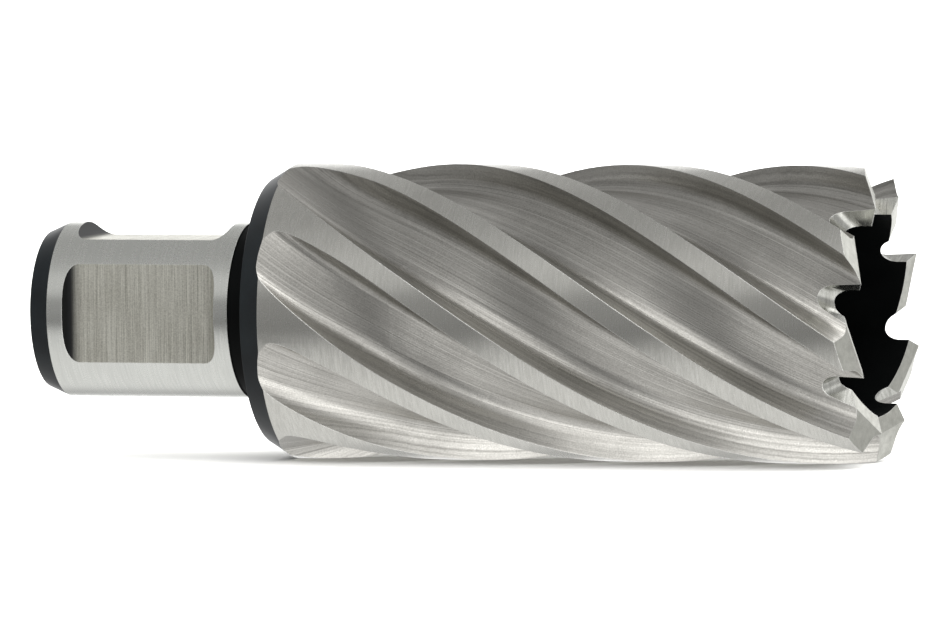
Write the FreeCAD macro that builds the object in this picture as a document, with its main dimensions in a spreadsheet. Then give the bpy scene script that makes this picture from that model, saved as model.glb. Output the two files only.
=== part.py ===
"""Annular (core) cutter with a flatted 3/4 inch shank, and the pilot pin that slides inside it.

Millimetres and degrees. The axis of rotation is +X, from the shank towards the teeth. +Z is up. One
drive flat faces +Z and the other faces -Y. The origin is on the axis, midway along the flats. Inside
each body lengths run from the rear face of the shank, and its placement moves it to the origin.
Angles round the axis are measured from -Y and grow towards +Z. Seen from behind, the tool turns so
that its teeth travel from large angles to small ones, and the flutes are a right-hand helix.
"""
import FreeCAD, Part
import math
import os
import Sketcher

SIZES = [
    # overall
    ("overall_length", 94.2, "rear face to tooth tips"),
    ("body_diameter", 32.0, "hole that the cutter makes"),
    ("core_diameter", 22.2, "inside of the toothed wall"),
    ("core_depth", 55.0, "tooth tips to the roof of the core"),
    ("core_corner", 2.0, "radius between core wall and roof"),
    # shank
    ("shank_diameter", 19.05, "ground drive shank, 3/4 inch"),
    ("shank_length", 22.7, "rear face to the end of the ground part"),
    ("rear_chamfer_fall", 0.975, "fall of the rear chamfer below the shank"),
    ("rear_chamfer", 2.2, "length of the rear chamfer"),
    ("neck_relief", 0.175, "depth of the neck below the shank"),
    ("shoulder_position", 25.7, "rear face to the shoulder"),
    ("shoulder_fall", 1.45, "fall of the shoulder's rim below the body"),
    ("shoulder_cone", 2.4, "length of the cone from rim to body"),
    # drive flats
    ("flat_depth", 1.645, "depth of a flat below the shank"),
    ("flat_start", 3.95, "rear face to the flat"),
    ("flat_length", 17.2, "length of a flat at its rim"),
    ("flat_corner", 1.5, "radius where the floor meets an end"),
    # flutes
    ("flute_count", 8, "flutes and teeth"),
    ("flute_lead", 152.0, "one full turn of the helix"),
    ("web_low", 1.58, "wall left between core and flute, trailing corner"),
    ("web_high", 1.8, "wall left between core and flute, leading corner"),
    ("flute_trailing_reach", 3.06, "trailing floor corner from mid flute"),
    ("flute_leading_reach", 3.7, "leading floor corner from mid flute"),
    ("trailing_wall_lean", 36.0, "trailing wall against the radius"),
    ("leading_wall_lean", 27.0, "leading wall against the radius"),
    ("trailing_corner", 2.2, "floor radius at the trailing wall"),
    ("leading_corner", 1.6, "floor radius at the leading wall"),
    ("runout_start", 42.0, "where the flute begins to rise"),
    ("runout_length", 17.0, "length over which it rises"),
    ("runout_clearance", 0.58, "how far above the body the floor ends"),
    ("runout_skew", 1.2, "extra rise of the leading corner"),
    # teeth
    ("tooth_phase", 17.8, "angle of the first cutting tip"),
    ("ridge_offset", 1.62, "core wall to the ridge of a tooth"),
    ("tip_to_tooth", 14.0, "angle from tip to mid tooth"),
    ("tip_to_flute", 12.2, "angle from mid flute to tip"),
    ("outer_bevel", 15.0, "slope outside the ridge"),
    ("inner_bevel", 15.4, "slope inside the ridge"),
    ("tooth_relief", 14.8, "fall of the ridge behind the tip"),
    ("tooth_span", 8.6, "width dressed by one bevel cut"),
    ("rake_lean", 3.8, "cutting face against the radius"),
    ("gullet_slope", 40.0, "outward and rearward slope of a gullet"),
    ("gullet_root", 4.42, "root of the gullet in its own plane"),
    ("gullet_width", 2.18, "width of the gullet at its root"),
    ("gullet_radius", 1.43, "corner radius of the root"),
    ("gullet_flare", 43.0, "opening of the trailing side"),
    # pilot pin
    ("pin_diameter", 6.35, "pilot pin, 1/4 inch"),
    ("pin_clearance", 0.05, "radial gap between pin and bore"),
    ("pin_retreat", 10.6, "tooth tips back to the parked pin's point"),
    ("pin_inset", 1.6, "rear face to the parked pin"),
    ("pin_point", 45.0, "half angle of the point"),
    ("pin_edge", 0.5, "chamfers on the pin end and the bore"),
    ("pin_flat_depth", 0.8, "coolant flat below the pin's surface"),
    ("pin_flat_margin", 10.0, "round length kept at each end of the flat"),
]

doc = FreeCAD.newDocument("AnnularCutter")
sheet = doc.addObject("Spreadsheet::Sheet", "Sizes")
for row, (word, size, meaning) in enumerate(SIZES, start=1):
    sheet.set("A%d" % row, word)
    sheet.set("B%d" % row, str(size))
    sheet.set("C%d" % row, meaning)
    sheet.setAlias("B%d" % row, word)
doc.recompute()


def formula(text):
    """The formula with every size's name pointed at the sheet."""
    words = sorted((row[0] for row in SIZES), key=len, reverse=True)
    for place, word in enumerate(words):
        text = text.replace(word, "@%d@" % place)
    for place, word in enumerate(words):
        text = text.replace("@%d@" % place, "Sizes." + word)
    return text


def value(text):
    """The formula's present value as a plain number."""
    found = sheet.evalExpression(formula(text))
    return float(getattr(found, "Value", found))


def new_body(label):
    """A body whose lengths run from the rear face, placed so that mid flat is at the origin."""
    body = doc.addObject("PartDesign::Body", label)
    body.Label = label
    body.setExpression("Placement.Base.x", formula("-(flat_start + flat_length / 2)"))
    return body


def origin_part(body, role):
    return next(item for item in body.Origin.OriginFeatures if item.Role == role)


def new_sketch(body, name, plane, place=None):
    """A sketch on one of the body's origin planes, moved by an optional placement formula."""
    sketch = body.newObject("Sketcher::SketchObject", name)
    sketch.AttachmentSupport = [(origin_part(body, plane), "")]
    sketch.MapMode = "FlatFace"
    if place:
        sketch.setExpression("AttachmentOffset", formula(place))
    doc.recompute()
    return sketch


def pin_down(sketch, element, point, corner):
    """Ties one point of a sketch to two formulas, measured from the sketch's origin."""
    for kind, text in zip(("DistanceX", "DistanceY"), corner):
        index = sketch.addConstraint(Sketcher.Constraint(kind, -1, 1, element, point, value(text)))
        sketch.setExpression("Constraints[%d]" % index, formula(text))


def outline(sketch, corners):
    """A closed outline through corners given as (x, y) or (x, y, radius) formulas."""
    spots = [FreeCAD.Vector(value(c[0]), value(c[1]), 0) for c in corners]
    radii = [value(c[2]) if len(c) > 2 else 0.0 for c in corners]
    arrive, leave = [], []
    for i, spot in enumerate(spots):
        back = (spots[i - 1] - spot).normalize()
        ahead = (spots[(i + 1) % len(spots)] - spot).normalize()
        tangent = radii[i] / math.tan(back.getAngle(ahead) / 2) if radii[i] else 0.0
        arrive.append(spot + back * tangent)
        leave.append(spot + ahead * tangent)
    edges = [sketch.addGeometry(Part.LineSegment(leave[i], arrive[(i + 1) % len(spots)]))
             for i in range(len(spots))]
    for i, corner in enumerate(corners):
        before, after = edges[i - 1], edges[i]
        if radii[i]:
            across = (leave[i] + arrive[i]) * 0.5 - spots[i]
            reach = radii[i] / math.sin((arrive[i] - spots[i]).getAngle(leave[i] - spots[i]) / 2)
            middle = spots[i] + across.normalize() * (reach - radii[i])
            arc = sketch.addGeometry(Part.Arc(arrive[i], middle, leave[i]))
            starts_first = sketch.getPoint(arc, 1).distanceToPoint(arrive[i]) < 1e-4
            first, last = (1, 2) if starts_first else (2, 1)
            sketch.addConstraint(Sketcher.Constraint("Tangent", before, 2, arc, first))
            sketch.addConstraint(Sketcher.Constraint("Tangent", arc, last, after, 1))
            index = sketch.addConstraint(Sketcher.Constraint("Radius", arc, radii[i]))
            sketch.setExpression("Constraints[%d]" % index, formula(corner[2]))
            point = sketch.addGeometry(Part.Point(spots[i]), True)
            sketch.addConstraint(Sketcher.Constraint("PointOnObject", point, 1, before))
            sketch.addConstraint(Sketcher.Constraint("PointOnObject", point, 1, after))
            pin_down(sketch, point, 1, corner[:2])
        else:
            sketch.addConstraint(Sketcher.Constraint("Coincident", before, 2, after, 1))
            pin_down(sketch, after, 1, corner)
    doc.recompute()


def new_feature(body, kind, name):
    """A feature that keeps every face as it is drawn, and doesn't merge it with its neighbours."""
    feature = body.newObject("PartDesign::" + kind, name)
    feature.Refine = False
    return feature


def turned(body, kind, name, corners):
    """A Revolution or Groove about +X from an outline of (x, radius) corners."""
    sketch = new_sketch(body, name + "Profile", "XZ_Plane")
    outline(sketch, corners)
    feature = new_feature(body, kind, name)
    feature.Profile = sketch
    feature.ReferenceAxis = (origin_part(body, "X_Axis"), [""])
    feature.Angle = 360
    doc.recompute()
    return feature


def cut_across(body, name, plane, corners, length, place=None):
    """A pocket cut equally to both sides of its sketch."""
    sketch = new_sketch(body, name + "Profile", plane, place)
    outline(sketch, corners)
    pocket = new_feature(body, "Pocket", name)
    pocket.Profile = sketch
    pocket.SideType = "Symmetric"
    pocket.setExpression("Length", formula(length))
    doc.recompute()
    return pocket


def repeated(body, name, originals):
    """The originals repeated round the axis, once for each flute."""
    pattern = new_feature(body, "PolarPattern", name)
    pattern.Originals = originals
    pattern.Axis = (origin_part(body, "X_Axis"), [""])
    pattern.Angle = 360
    pattern.setExpression("Occurrences", formula("flute_count"))
    body.Tip = pattern
    doc.recompute()


BORE_RADIUS = "(pin_diameter / 2 + pin_clearance)"
CORE_ROOF = "(overall_length - core_depth)"
RIDGE = "(core_diameter / 2 + ridge_offset)"
TIP_RADIUS = "(%s / cos(tip_to_tooth))" % RIDGE
RUNOUT_LIFT = "(body_diameter / 2 - core_diameter / 2 - web_low + runout_clearance)"
FLUTE_ANGLE = "(tooth_phase - tip_to_flute)"


def flute_section(body, name, place_x, lift="0", skew="0"):
    """A flute's cross-section at one place along the axis, turned to follow the helix."""
    angle = "(%s - 360 * (%s - overall_length) / flute_lead)" % (FLUTE_ANGLE, place_x)
    place = "placement(vector(0; 0; %s); rotationz(90 - %s))" % (place_x, angle)
    sketch = new_sketch(body, name, "YZ_Plane", place)
    low = "(core_diameter / 2 + web_low + %s)" % lift
    high = "(core_diameter / 2 + web_high + %s + %s)" % (lift, skew)
    top = "(body_diameter / 2 + 2 + %s)" % lift
    outline(sketch, [
        ("-flute_trailing_reach - (%s - %s) * tan(trailing_wall_lean)" % (top, low), top),
        ("-flute_trailing_reach", low, "trailing_corner"),
        ("flute_leading_reach", high, "leading_corner"),
        ("flute_leading_reach + (%s - %s) * tan(leading_wall_lean)" % (top, high), top),
    ])
    return sketch


def cut_flutes(body):
    """One flute swept along the helix, its rear end rising out of the body, repeated as a pattern."""
    sweep = new_feature(body, "SubtractiveHelix", "Flute")
    sweep.Profile = flute_section(body, "FluteMouth", "(overall_length + 2)")
    sweep.ReferenceAxis = (origin_part(body, "X_Axis"), [""])
    sweep.Mode = "pitch-height-angle"
    sweep.setExpression("Pitch", formula("flute_lead"))
    sweep.setExpression("Height", formula("overall_length + 2 - runout_start"))
    sweep.Reversed = True
    doc.recompute()
    repeated(body, "Flutes", [sweep])

    steps = 4
    sections = []
    for step in range(steps + 1):
        place_x = "(runout_start - runout_length * %d / %d)" % (step, steps)
        rise = "(%d / %d) ^ 2" % (step, steps)
        sections.append(flute_section(body, "FluteRunout%d" % step, place_x,
                                      RUNOUT_LIFT + " * " + rise, "runout_skew * " + rise))
    runout = new_feature(body, "SubtractiveLoft", "FluteRunout")
    runout.Profile = sections[0]
    runout.Sections = sections[1:]
    doc.recompute()
    repeated(body, "FluteRunouts", [runout])


def cut_gullets(body):
    """The round-rooted gaps between the teeth, which open the core to the flutes."""
    place = ("placement(vector(overall_length; 0; 0); "
             "rotationx(90 - tooth_phase - rake_lean) * rotationy(-gullet_slope))")
    rake = "(-%s * sin(rake_lean))" % TIP_RADIUS
    heel = "(%s - gullet_width)" % rake
    front = "(gullet_root + body_diameter / 4)"
    sketch = new_sketch(body, "GulletProfile", "XY_Plane", place)
    outline(sketch, [
        (front, rake),
        ("gullet_root", rake, "gullet_radius"),
        ("gullet_root", heel, "gullet_radius"),
        (front, "%s - (%s - gullet_root) * tan(gullet_flare)" % (heel, front)),
    ])
    gullet = new_feature(body, "Pocket", "Gullet")
    gullet.Profile = sketch
    gullet.Reversed = True
    gullet.setExpression("Length", formula("body_diameter / 2 * 1.5"))
    doc.recompute()
    repeated(body, "Gullets", [gullet])


def dress_teeth(body):
    """The two bevels that meet in a ridge on every tooth and fall away behind its tip."""
    place = ("placement(vector(overall_length; 0; 0); "
             "rotationx(90 - tooth_phase - tip_to_tooth) * rotationy(tooth_relief))")
    ridge = "(-%s * tan(tip_to_tooth) * sin(tooth_relief))" % RIDGE
    outside = "(body_diameter / 2 + 2)"
    inside = "(core_diameter / 2 - 3)"
    tooth = cut_across(body, "Tooth", "XZ_Plane", [
        (ridge, RIDGE),
        ("%s - (%s - %s) * tan(outer_bevel)" % (ridge, outside, RIDGE), outside),
        ("4", outside),
        ("4", inside),
        ("%s - (%s - %s) * tan(inner_bevel)" % (ridge, RIDGE, inside), inside),
    ], "tooth_span", place)
    repeated(body, "Teeth", [tooth])


def cut_flats(body):
    """Two drive flats a quarter turn apart, one square to +Z and one square to -Y."""
    rim = "(shank_diameter / 2 + 1)"
    far = "(flat_start + flat_length)"
    for name, plane, side in (("TopFlat", "XZ_Plane", "1"), ("SideFlat", "XY_Plane", "-1")):
        floor = "(%s * (shank_diameter / 2 - flat_depth))" % side
        above = "(%s * %s)" % (side, rim)
        cut_across(body, name, plane, [
            ("flat_start", above),
            ("flat_start", floor, "flat_corner"),
            (far, floor, "flat_corner"),
            (far, above),
        ], "shank_diameter + 2")


def make_cutter():
    """The whole cutter. The shank's wall is drawn in three lengths, split where the flats' floors end."""
    body = new_body("annular_cutter")
    turned(body, "Revolution", "Blank", [
        ("0", "0"),
        ("0", "shank_diameter / 2 - rear_chamfer_fall"),
        ("rear_chamfer", "shank_diameter / 2"),
        ("flat_start + flat_corner", "shank_diameter / 2"),
        ("flat_start + flat_length - flat_corner", "shank_diameter / 2"),
        ("shank_length", "shank_diameter / 2"),
        ("shank_length", "shank_diameter / 2 - neck_relief"),
        ("shoulder_position", "shank_diameter / 2 - neck_relief"),
        ("shoulder_position", "body_diameter / 2 - shoulder_fall"),
        ("shoulder_position + shoulder_cone", "body_diameter / 2"),
        ("overall_length + 1", "body_diameter / 2"),
        ("overall_length + 1", "0"),
    ])
    turned(body, "Groove", "Core", [
        (CORE_ROOF, "0"),
        (CORE_ROOF, "core_diameter / 2", "core_corner"),
        ("overall_length + 2", "core_diameter / 2"),
        ("overall_length + 2", "0"),
    ])
    turned(body, "Groove", "PilotBore", [
        ("-pin_edge", "0"),
        ("-pin_edge", BORE_RADIUS + " + 2 * pin_edge"),
        ("pin_edge", BORE_RADIUS),
        (CORE_ROOF + " + 1", BORE_RADIUS),
        (CORE_ROOF + " + 1", "0"),
    ])
    cut_flats(body)
    cut_flutes(body)
    cut_gullets(body)
    dress_teeth(body)
    return body


def make_pin():
    """The pilot pin, parked with its point well inside the core."""
    body = new_body("pilot_pin")
    end = "(overall_length - pin_retreat)"
    radius = "(pin_diameter / 2)"
    turned(body, "Revolution", "Rod", [
        ("pin_inset", "0"),
        ("pin_inset", radius + " - pin_edge"),
        ("pin_inset + pin_edge", radius),
        ("%s - %s / tan(pin_point)" % (end, radius), radius),
        (end, "0"),
    ])
    floor = "(%s - pin_flat_depth)" % radius
    above = "(%s + 1)" % radius
    first = "(pin_inset + pin_flat_margin)"
    last = "(%s - pin_flat_margin)" % end
    cut_across(body, "CoolantFlat", "XZ_Plane", [
        ("%s - 1 - pin_flat_depth" % first, above),
        (first, floor),
        (last, floor),
        ("%s + 1 + pin_flat_depth" % last, above),
    ], "pin_diameter * 2")
    return body


def check(bodies):
    """Stops the build if any feature failed or any piece isn't one valid solid."""
    failed = [item.Label for item in doc.Objects if "Invalid" in item.State or "Error" in item.State]
    if failed:
        raise RuntimeError("failed features: " + ", ".join(failed))
    for body in bodies:
        shape = body.Shape
        if shape.isNull() or not shape.isValid() or len(shape.Solids) != 1:
            raise RuntimeError(body.Label + " isn't one valid solid")


bodies = [make_cutter(), make_pin()]
doc.recompute()
check(bodies)
os.makedirs("parts", exist_ok=True)
for body in bodies:
    body.Shape.exportStep("parts/%s.step" % body.Label)
    print(body.Label, round(body.Shape.Volume, 1), "cubic mm")
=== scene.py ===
"""An annular cutter with its pilot pin, on a pale studio table.

Lengths are in metres unless a name ends in _MM. The frame is the part's own: +X runs along the
axis from the shank to the teeth, +Z is up, and the origin lies midway along the drive flats.
"""
import math

import bpy
from mathutils import Matrix, Vector


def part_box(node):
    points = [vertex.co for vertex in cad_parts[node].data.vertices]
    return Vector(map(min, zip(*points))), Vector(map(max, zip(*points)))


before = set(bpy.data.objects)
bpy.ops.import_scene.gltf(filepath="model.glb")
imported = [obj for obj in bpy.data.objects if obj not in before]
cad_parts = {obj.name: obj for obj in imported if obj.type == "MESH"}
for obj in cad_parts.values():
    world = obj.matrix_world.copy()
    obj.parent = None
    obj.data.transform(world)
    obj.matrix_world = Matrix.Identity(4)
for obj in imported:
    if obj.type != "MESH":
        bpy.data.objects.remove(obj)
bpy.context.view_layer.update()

MM = 0.001

# sizes of the part that tell its surfaces apart, in millimetres from the axis or the rear face
REAR_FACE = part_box("annular_cutter")[0][0]
LENGTH_MM = 94.2
CHAMFER_MM = 2.2
SHANK_END_MM = 22.7
SHANK_RADIUS_MM = 9.525
BODY_RADIUS_MM = 16.0
CORE_RADIUS_MM = 11.1
BORE_RADIUS_MM = 3.225
TOOTH_ZONE_MM = 10.0
SHOULDER_MM = 8.0                 # the neck and the black cone end within this of the shank's end
FLAT_SHORT_MM = 0.5               # the flats stop at least this short of the shank's end
BORE_MOUTH_MM = 1.1               # a bore's mouth is wider than the bore by less than this
WALL_TOLERANCE_MM = 0.03          # a mesh point this near to a radius lies on that wall
UPRIGHT = 0.99                    # a round wall's faces look outward from the axis at least this squarely
AHEAD = 0.85                      # a ground bevel looks forward at least this squarely
LEAD_MM = 152.0
TWIST = -2 * math.pi / (LEAD_MM * MM)   # radians about the axis for each metre along it, right-handed


# ---------------------------------------------------------------- nodes and colours

def linear(colour, alpha=1.0):
    """A hex sRGB colour as the linear one that a shader takes."""
    parts = [int(colour[i:i + 2], 16) / 255 for i in (1, 3, 5)]
    return [p / 12.92 if p <= 0.04045 else ((p + 0.055) / 1.055) ** 2.4 for p in parts] + [alpha]


def add(tree, kind, settings=None, links=None):
    """Adds one node with its settings and its links from other nodes."""
    node = tree.nodes.new("ShaderNode" + kind)
    for name, value in (settings or {}).items():
        if isinstance(name, int) or name in node.inputs:
            node.inputs[name].default_value = value
        else:
            setattr(node, name, value)
    for name, source in (links or {}).items():
        socket = source[0].outputs[source[1]] if isinstance(source, tuple) else source.outputs[0]
        tree.links.new(socket, node.inputs[name])
    return node


def new_material(name):
    """An empty node material and its tree."""
    material = bpy.data.materials.new(name)
    material.use_nodes = True
    material.node_tree.nodes.clear()
    return material, material.node_tree


def lengthwise(tree, along_mm, across_mm):
    """Coordinates for marks that run round the axis: fine along it and long across it."""
    place = add(tree, "TexCoord")
    return add(tree, "Mapping", {"Scale": (1 / (along_mm * MM), 1 / (across_mm * MM), 1 / (across_mm * MM))},
               {"Vector": (place, "Object")})


def untwisted(tree, along_mm, across_mm):
    """Coordinates for marks that follow the flutes, also where a flute's floor rises out of the body.

    The part is untwisted about its axis, and every point is then taken to the body's radius.
    """
    place = add(tree, "TexCoord")
    split = add(tree, "SeparateXYZ", {}, {0: (place, "Object")})
    turn = add(tree, "Math", {"operation": "MULTIPLY", 1: TWIST}, {0: (split, "X")})
    rotated = add(tree, "VectorRotate", {"rotation_type": "X_AXIS"},
                  {"Vector": (place, "Object"), "Angle": turn})
    outward = add(tree, "VectorMath", {"operation": "MULTIPLY", 1: (0, 1, 1)}, {0: rotated})
    unit = add(tree, "VectorMath", {"operation": "NORMALIZE"}, {0: outward})
    round_trip = add(tree, "VectorMath", {"operation": "SCALE", "Scale": BODY_RADIUS_MM / across_mm},
                     {0: unit})
    length = add(tree, "Math", {"operation": "DIVIDE", 1: along_mm * MM}, {0: (split, "X")})
    ahead = add(tree, "CombineXYZ", {}, {"X": length})
    return add(tree, "VectorMath", {"operation": "ADD"}, {0: round_trip, 1: ahead})


def groove_direction(tree, lay):
    """The direction in which the grinding marks run, in the part's frame."""
    place = add(tree, "TexCoord")
    split = add(tree, "SeparateXYZ", {}, {0: (place, "Object")})
    if lay == "helix":
        y = add(tree, "Math", {"operation": "MULTIPLY", 1: TWIST}, {0: (split, "Z")})
        z = add(tree, "Math", {"operation": "MULTIPLY", 1: -TWIST}, {0: (split, "Y")})
        return add(tree, "CombineXYZ", {"X": 1.0}, {"Y": y, "Z": z})
    if lay == "flats":
        # across the top flat the wheel ran along Y, and across the side flat along Z
        total = add(tree, "Math", {"operation": "ADD"}, {0: (split, "Y"), 1: (split, "Z")})
        top = add(tree, "Math", {"operation": "GREATER_THAN", 1: 0.0}, {0: total})
        side = add(tree, "Math", {"operation": "SUBTRACT", 0: 1.0}, {1: top})
        return add(tree, "CombineXYZ", {}, {"Y": top, "Z": side})
    turned = add(tree, "Math", {"operation": "MULTIPLY", 1: -1.0}, {0: (split, "Y")})
    return add(tree, "CombineXYZ", {}, {"Y": (split, "Z"), "Z": turned})


# ---------------------------------------------------------------- what each surface is made of

GRAIN_MM = 0.14                   # sparkle of the steel's grain, drawn about ten times coarser to show
SKIN_FADE_MM = 1.2                # the length over which the wheel came down through the black skin
EDGE_HIGHLIGHT = "#F4F4F0"             # painted highlight: sharp edges brightened where their small edge break catches the light
EDGE_FROM, EDGE_TO = 0.985, 0.9   # how sharply an edge turns before the painted highlight starts on it, and when it is full
EDGE_SHARE = 0.7


def ground_steel(name, colour, dark, roughness, spread, lay, along_mm, across_mm,
                 depth_um, contrast, cloud_mm=6.0, edge_mm=0.12, skin_to_mm=None):
    """High-speed steel ground bright.

    The wheel leaves parallel marks, along_mm by across_mm in the lay's direction and depth_um deep.
    They blur the reflection across themselves (spread) and change how grey and how dull it is.
    Behind skin_to_mm from the rear face the wheel didn't reach, and the black skin is left.
    """
    material, tree = new_material(name)
    place = untwisted if lay == "helix" else lengthwise
    marks = add(tree, "TexNoise", {"Scale": 1.0, "Detail": 3.0, "Roughness": 0.6},
                {"Vector": place(tree, along_mm, across_mm)})
    bands = add(tree, "TexNoise", {"Scale": 1.0, "Detail": 2.0, "Roughness": 0.5},
                {"Vector": place(tree, along_mm * 3, across_mm * 5)})
    cloud = add(tree, "TexNoise", {"Scale": 1 / (cloud_mm * MM), "Detail": 3.0},
                {"Vector": (add(tree, "TexCoord"), "Object")})
    grain = add(tree, "TexNoise", {"Scale": 1 / (GRAIN_MM * MM), "Detail": 1.0},
                {"Vector": (add(tree, "TexCoord"), "Object")})
    speckle = add(tree, "Math", {"operation": "MULTIPLY_ADD", 1: 0.35, 2: -0.175}, {0: grain})
    lined = add(tree, "Math", {"operation": "MULTIPLY_ADD", 1: 0.25, 2: 0.175}, {0: bands})
    ground = add(tree, "Math", {"operation": "MULTIPLY_ADD", 1: 0.8}, {0: marks, 2: lined})
    mixed = add(tree, "Math", {"operation": "ADD"}, {0: ground, 1: speckle})
    tone = add(tree, "MapRange", {"From Min": 0.50, "From Max": 0.90},
               {"Value": mixed})
    shade = add(tree, "Math", {"operation": "MULTIPLY_ADD", 1: contrast, 2: 0.5 - contrast / 2}, {0: tone})
    drift = add(tree, "Math", {"operation": "MULTIPLY_ADD", 1: 0.5, 2: -0.25}, {0: cloud})
    level = add(tree, "Math", {"operation": "ADD", "use_clamp": True}, {0: shade, 1: drift})
    tint = add(tree, "Mix", {"data_type": "RGBA", 6: linear(dark), 7: linear(colour)}, {0: level})
    dull = add(tree, "MapRange", {"To Min": roughness * 1.25, "To Max": roughness * 0.85}, {"Value": level})
    rounded = add(tree, "Bevel", {"samples": 4, "Radius": edge_mm * MM})
    square = add(tree, "VectorMath", {"operation": "DOT_PRODUCT"},
                 {0: rounded, 1: (add(tree, "NewGeometry"), "Normal")})
    # painted highlight: the colour is brightened along sharp edges, found where the rounded normal turns
    # from the true one
    edge_highlight_mask = add(tree, "MapRange", {"From Min": EDGE_FROM, "From Max": EDGE_TO, "To Max": EDGE_SHARE},
               {"Value": (square, "Value")})
    lit = add(tree, "Mix", {"data_type": "RGBA", 7: linear(EDGE_HIGHLIGHT)}, {0: edge_highlight_mask, 6: (tint, 2)})
    bumped = add(tree, "Bump", {"Strength": 1.0, "Distance": depth_um * 1e-6},
                 {"Height": mixed, "Normal": rounded})
    across = add(tree, "VectorMath", {"operation": "CROSS_PRODUCT"},
                 {0: (add(tree, "NewGeometry"), "Normal"), 1: groove_direction(tree, lay)})
    shader = add(tree, "BsdfPrincipled", {"Metallic": 1.0, "Anisotropic": spread},
                 {"Base Color": (lit, 2), "Roughness": dull, "Normal": bumped, "Tangent": across})
    surface = shader
    if skin_to_mm is not None:
        split = add(tree, "SeparateXYZ", {}, {0: (add(tree, "TexCoord"), "Object")})
        limit = REAR_FACE + skin_to_mm * MM
        reached = add(tree, "MapRange", {"interpolation_type": "SMOOTHSTEP", "From Min": limit,
                                         "From Max": limit + SKIN_FADE_MM * MM}, {"Value": (split, "X")})
        skin = add(tree, "BsdfPrincipled", {"Base Color": linear("#030405"), "Roughness": 0.5, "IOR": 1.3})
        surface = add(tree, "MixShader", {}, {0: reached, 1: skin, 2: shader})
    add(tree, "OutputMaterial", {}, {"Surface": surface})
    return material


def hardened_skin(name, colour, light, roughness, ior):
    """The black scale that hardening leaves where nothing is ground afterwards."""
    material, tree = new_material(name)
    place = add(tree, "TexCoord")
    grain = add(tree, "TexNoise", {"Scale": 1 / (0.25 * MM), "Detail": 4.0}, {"Vector": (place, "Object")})
    patches = add(tree, "TexNoise", {"Scale": 1 / (3.0 * MM), "Detail": 2.0}, {"Vector": (place, "Object")})
    dull = add(tree, "MapRange", {"To Min": roughness * 0.8, "To Max": roughness * 1.3}, {"Value": patches})
    tint = add(tree, "ValToRGB", {}, {"Fac": patches})
    tint.color_ramp.elements[0].position = 0.3
    tint.color_ramp.elements[0].color = linear(colour)
    tint.color_ramp.elements[1].position = 0.8
    tint.color_ramp.elements[1].color = linear(light)
    rounded = add(tree, "Bevel", {"samples": 4, "Radius": 0.15 * MM})
    bumped = add(tree, "Bump", {"Strength": 1.0, "Distance": 2e-6}, {"Height": grain, "Normal": rounded})
    shader = add(tree, "BsdfPrincipled", {"IOR": ior},
                 {"Base Color": tint, "Roughness": dull, "Normal": bumped})
    add(tree, "OutputMaterial", {}, {"Surface": shader})
    return material


FINISHES = {
    # high-speed steel, cylindrically ground on a fine wheel: bright, cool and smooth, with faint hoops
    # round it that stretch each reflection into a soft band along the shank. The real hoops are under
    # 0.05 mm wide and are drawn at 0.13 mm.
    "ground_shank": ground_steel("ground_shank", "#DEDFDA", "#C8C9C4", 0.27, 0.6, "round",
                                 0.13, 4.0, 2.0, 0.6),
    # the same steel, surface ground across the flat with a coarse wheel: warmer and duller, with close
    # straight hairlines, and a black end where the wheel didn't come down
    "cross_ground_flat": ground_steel("cross_ground_flat", "#ECEBE0", "#B0AEA3", 0.45, 0.85, "flats",
                                      0.11, 8.0, 6.0, 1.2, skin_to_mm=4.5),
    # the outside of the body between the flutes, cylindrically ground: a plain grey sheen that darkens
    # and brightens as one round wall
    "ground_land": ground_steel("ground_land", "#D8D7D1", "#B8B7B1", 0.27, 0.4, "round",
                                0.14, 1.6, 2.0, 0.7),
    # the flutes, form milled in the same steel by a cutter that travelled along the helix: long fine
    # streaks that follow the twist, and a highlight drawn out across them
    "milled_flute": ground_steel("milled_flute", "#D4D2CC", "#8C8A85", 0.29, 0.6, "helix",
                                 25.0, 0.11, 7.0, 0.9),
    # the round gullets between the teeth, cut by a small wheel: glossier, with short marks
    "ground_gullet": ground_steel("ground_gullet", "#D6D6D0", "#A0A09A", 0.24, 0.5, "round",
                                  0.25, 3.0, 4.0, 0.8),
    # the teeth's sharpened faces, left as the last wheel made them: flat and pale, with visible scratches
    "ground_bevel": ground_steel("ground_bevel", "#CFCFC7", "#A6A69E", 0.36, 0.3, "round",
                                 0.4, 0.8, 3.0, 0.6),
    # the scale left by hardening on the rear edge, neck and shoulder, which are never ground: near
    # black with a blue cast and a satin gloss
    "hardened_skin": hardened_skin("hardened_skin", "#03070A", "#0A1114", 0.34, 1.42),
    # the same scale inside the core and the bore, made darker and duller than outside as painted shade in
    # the deep hollow: it gives almost no light back
    "core_skin_painted_shade": hardened_skin("core_skin_painted_shade", "#000101", "#010202", 0.5, 1.2),
}


# ---------------------------------------------------------------- the cutter's finishes

def connected_faces(mesh):
    """The mesh's polygons, gathered by the CAD face that they come from."""
    group = list(range(len(mesh.vertices)))

    def root(i):
        while group[i] != i:
            group[i] = group[group[i]]
            i = group[i]
        return i

    for edge in mesh.edges:
        a, b = (root(v) for v in edge.vertices)
        group[max(a, b)] = min(a, b)
    gathered = {}
    for polygon in mesh.polygons:
        gathered.setdefault(root(polygon.vertices[0]), []).append(polygon)
    return gathered.values()


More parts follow.
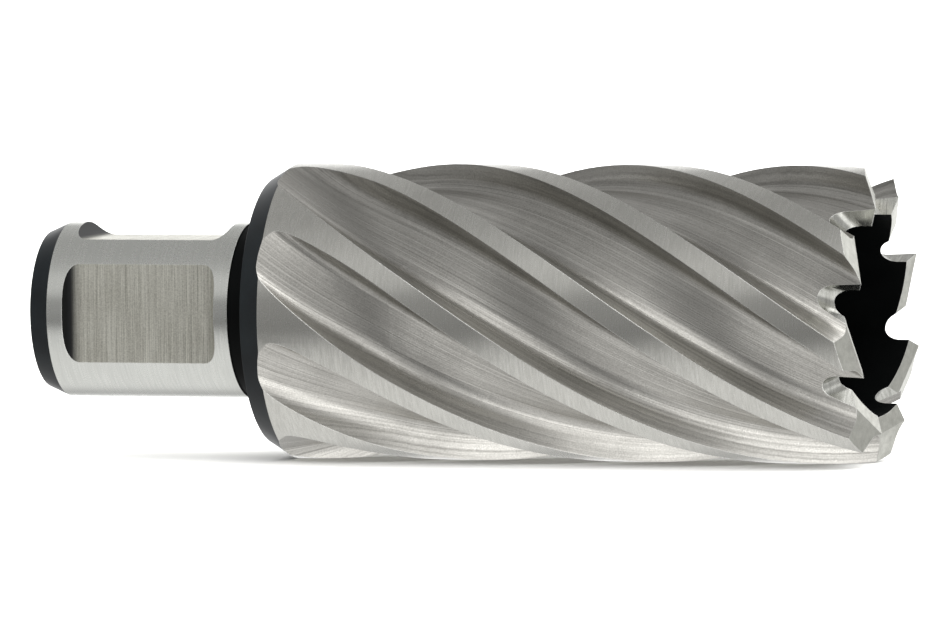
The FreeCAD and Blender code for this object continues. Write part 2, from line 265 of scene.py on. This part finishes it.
def finish_of(mesh, polygons):
    """How one CAD face of the cutter was made, from where it lies."""
    points = [mesh.vertices[v].co for p in polygons for v in p.vertices]
    along = [(p.x - REAR_FACE) / MM for p in points]
    radii = [math.hypot(p.y, p.z) / MM for p in points]
    low, high, near, far = min(along), max(along), min(radii), max(radii)
    facing = sum((p.normal * p.area for p in polygons), Vector()).normalized()

    def on_radius(radius):
        upright = min(p.normal.dot(Vector((0, p.center.y, p.center.z)).normalized()) for p in polygons)
        return (near > radius - WALL_TOLERANCE_MM and far < radius + WALL_TOLERANCE_MM
                and upright > UPRIGHT)

    # the bore takes the scale darkened with painted shade
    if far < BORE_RADIUS_MM + BORE_MOUTH_MM:
        return "core_skin_painted_shade"
    if on_radius(SHANK_RADIUS_MM):
        return "ground_shank"
    if on_radius(BODY_RADIUS_MM):
        return "ground_land"
    # the inside of the core takes the scale darkened with painted shade
    if far < CORE_RADIUS_MM + WALL_TOLERANCE_MM and low > SHANK_END_MM:
        return "core_skin_painted_shade"
    if high < SHANK_END_MM - FLAT_SHORT_MM and low > CHAMFER_MM:
        return "cross_ground_flat"
    if high < SHANK_END_MM + SHOULDER_MM:
        return "hardened_skin"
    if low > LENGTH_MM - TOOTH_ZONE_MM:
        return "ground_bevel" if facing.x > AHEAD else "ground_gullet"
    return "milled_flute"


def dress_cutter():
    """Gives each CAD face of the cutter its finish, by material slot only."""
    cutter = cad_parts["annular_cutter"]
    names = list(FINISHES)
    cutter.data.materials.clear()
    for name in names:
        cutter.data.materials.append(FINISHES[name])
    for polygons in connected_faces(cutter.data):
        finish = finish_of(cutter.data, polygons)
        for polygon in polygons:
            polygon.material_index = names.index(finish)


def dress_pin():
    """Tool steel rod, centreless ground: an even grey satin with fine hoops, drawn coarser to show."""
    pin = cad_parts["pilot_pin"]
    pin.data.materials.clear()
    pin.data.materials.append(ground_steel("centreless_ground_pin", "#CDCDCB", "#B2B2B0", 0.25, 0.6,
                                           "round", 0.2, 6.0, 1.0, 0.6))


# ---------------------------------------------------------------- table, light and camera

TABLE_HALF = 6.0                  # metres from the middle of the table to its edge
TABLE_LIGHT, TABLE_LIGHT_SPREAD = 5.5, 120   # sun strength, and the degrees of sky that it fills


def make_table():
    """A large sheet of matt white card that the cutter's body lies on, faintly mottled."""
    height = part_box("annular_cutter")[0][2]
    corners = [(x * TABLE_HALF, y * TABLE_HALF, height) for x, y in ((-1, -1), (1, -1), (1, 1), (-1, 1))]
    mesh = bpy.data.meshes.new("table_sheet")
    mesh.from_pydata(corners, [], [(0, 1, 2, 3)])
    table = bpy.data.objects.new("table_sheet", mesh)
    bpy.context.scene.collection.objects.link(table)
    material, tree = new_material("matt_white_card")
    grain = add(tree, "TexNoise", {"Scale": 1 / (1.5 * MM), "Detail": 3.0},
                {"Vector": (add(tree, "TexCoord"), "Object")})
    tint = add(tree, "ValToRGB", {}, {"Fac": grain})
    tint.color_ramp.elements[0].color = linear("#F1F1EF")
    tint.color_ramp.elements[1].color = linear("#F8F8F6")
    shader = add(tree, "BsdfPrincipled", {"Roughness": 0.9, "Specular IOR Level": 0.2}, {"Base Color": tint})
    add(tree, "OutputMaterial", {}, {"Surface": shader})
    mesh.materials.append(material)
    table.visible_glossy = False
    table.visible_shadow = False


def table_light():
    """Broad light from above that whitens the table, kept out of the steel's reflections."""
    light = bpy.data.lights.new("table_light", "SUN")
    light.energy = TABLE_LIGHT
    light.angle = math.radians(TABLE_LIGHT_SPREAD)
    lamp = bpy.data.objects.new("table_light", light)
    bpy.context.scene.collection.objects.link(lamp)
    lamp.visible_glossy = False


# the studio's soft boxes, pale walls and dark gaps: where their middle lies along the axis (-1 to 1, the
# share of a unit direction), half their length and its soft edge, their angle from the front over the top in
# degrees, half their width and its soft edge, and their brightness above the room's own
SOFT_BOXES = (
    ("white_table_below", 0.08, 0.58, 0.22, -78, 36, 28, 0.42),
    ("right_box", 0.68, 0.18, 0.24, -28, 24, 26, 1.10),
    ("upper_right_box", 0.30, 0.12, 0.12, 66, 22, 18, 0.95),
    ("right_rear_wall", 0.42, 0.16, 0.14, 108, 24, 20, 1.5),
    ("upper_front_box", 0.0, 0.10, 0.12, 34, 9, 12, 0.75),
    ("dim_upper_left", -0.60, 0.16, 0.20, 95, 22, 25, -0.14),
    ("back_wall", -0.1, 0.60, 0.30, 180, 11, 22, 0.95),
    ("gap_in_front", 0.02, 0.14, 0.14, -28, 12, 14, -0.46),
    ("gap_at_eye_level", -0.32, 0.12, 0.14, 0, 12, 14, -0.28),
    ("gap_overhead", -0.04, 0.12, 0.12, 90, 12, 16, -0.28),
    ("dim_left_end", -1.0, 0.12, 0.15, 0, 180, 1, -0.17),
)
ROOM = 0.54                       # the plain room's own brightness


def surround():
    """The room about the table, with a smooth patch for each soft box, pale wall and dark gap."""
    world = bpy.data.worlds.new("studio_room")
    bpy.context.scene.world = world
    world.use_nodes = True
    tree = world.node_tree
    tree.nodes.clear()
    place = add(tree, "TexCoord")
    split = add(tree, "SeparateXYZ", {}, {0: (place, "Generated")})
    flat = add(tree, "VectorMath", {"operation": "MULTIPLY", 1: (0, 1, 1)}, {0: (place, "Generated")})
    sideways = add(tree, "VectorMath", {"operation": "NORMALIZE"}, {0: flat})
    total = add(tree, "Value", {})
    total.outputs[0].default_value = ROOM
    for name, along, length, end, angle, width, edge, bright in SOFT_BOXES:
        turn = math.radians(angle)
        near = add(tree, "VectorMath", {"operation": "DOT_PRODUCT", "label": name,
                                        1: (0, -math.cos(turn), math.sin(turn))}, {0: sideways})
        across = add(tree, "MapRange", {"interpolation_type": "SMOOTHSTEP", "To Max": bright,
                                        "From Min": math.cos(math.radians(min(width + edge, 180))) - 0.001,
                                        "From Max": math.cos(math.radians(width))},
                     {"Value": (near, "Value")})
        off = add(tree, "Math", {"operation": "SUBTRACT", 1: along}, {0: (split, "X")})
        far = add(tree, "Math", {"operation": "ABSOLUTE"}, {0: off})
        within = add(tree, "MapRange", {"interpolation_type": "SMOOTHSTEP", "From Min": length + end,
                                        "From Max": length}, {"Value": far})
        total = add(tree, "Math", {"operation": "MULTIPLY_ADD"}, {0: across, 1: within, 2: total})
    back = add(tree, "Background", {}, {"Color": total})
    add(tree, "OutputWorld", {}, {"Surface": back})


# where the camera looks, in millimetres, and its angles in degrees
TARGET = Vector((35.02, 0.0, -0.335)) * MM
CAMERA_AZIMUTH, CAMERA_ELEVATION, CAMERA_ROLL = 16.28, 3.35, -0.512
CAMERA_DISTANCE = 1.3             # metres
LENS_MM, SENSOR_MM, CLIP_END = 457.8, 36, 50


def place_camera():
    """A long lens, a little above the axis and to the teeth's side of square."""
    az, el, roll = (math.radians(a) for a in (CAMERA_AZIMUTH, CAMERA_ELEVATION, CAMERA_ROLL))
    back = Vector((math.sin(az) * math.cos(el), -math.cos(az) * math.cos(el), math.sin(el)))
    level = (-back).cross(Vector((0, 0, 1))).normalized()
    rise = level.cross(-back)
    right = level * math.cos(roll) + rise * math.sin(roll)
    up = rise * math.cos(roll) - level * math.sin(roll)
    lens = bpy.data.cameras.new("studio_camera")
    lens.sensor_width = SENSOR_MM
    lens.lens = LENS_MM
    lens.clip_end = CLIP_END
    camera = bpy.data.objects.new("studio_camera", lens)
    bpy.context.scene.collection.objects.link(camera)
    turn = Matrix((right, up, back)).transposed().to_4x4()
    camera.matrix_world = Matrix.Translation(TARGET + back * CAMERA_DISTANCE) @ turn
    bpy.context.scene.camera = camera


dress_cutter()
dress_pin()
make_table()
surround()
table_light()
place_camera()
bpy.context.scene.view_settings.view_transform = "Standard"
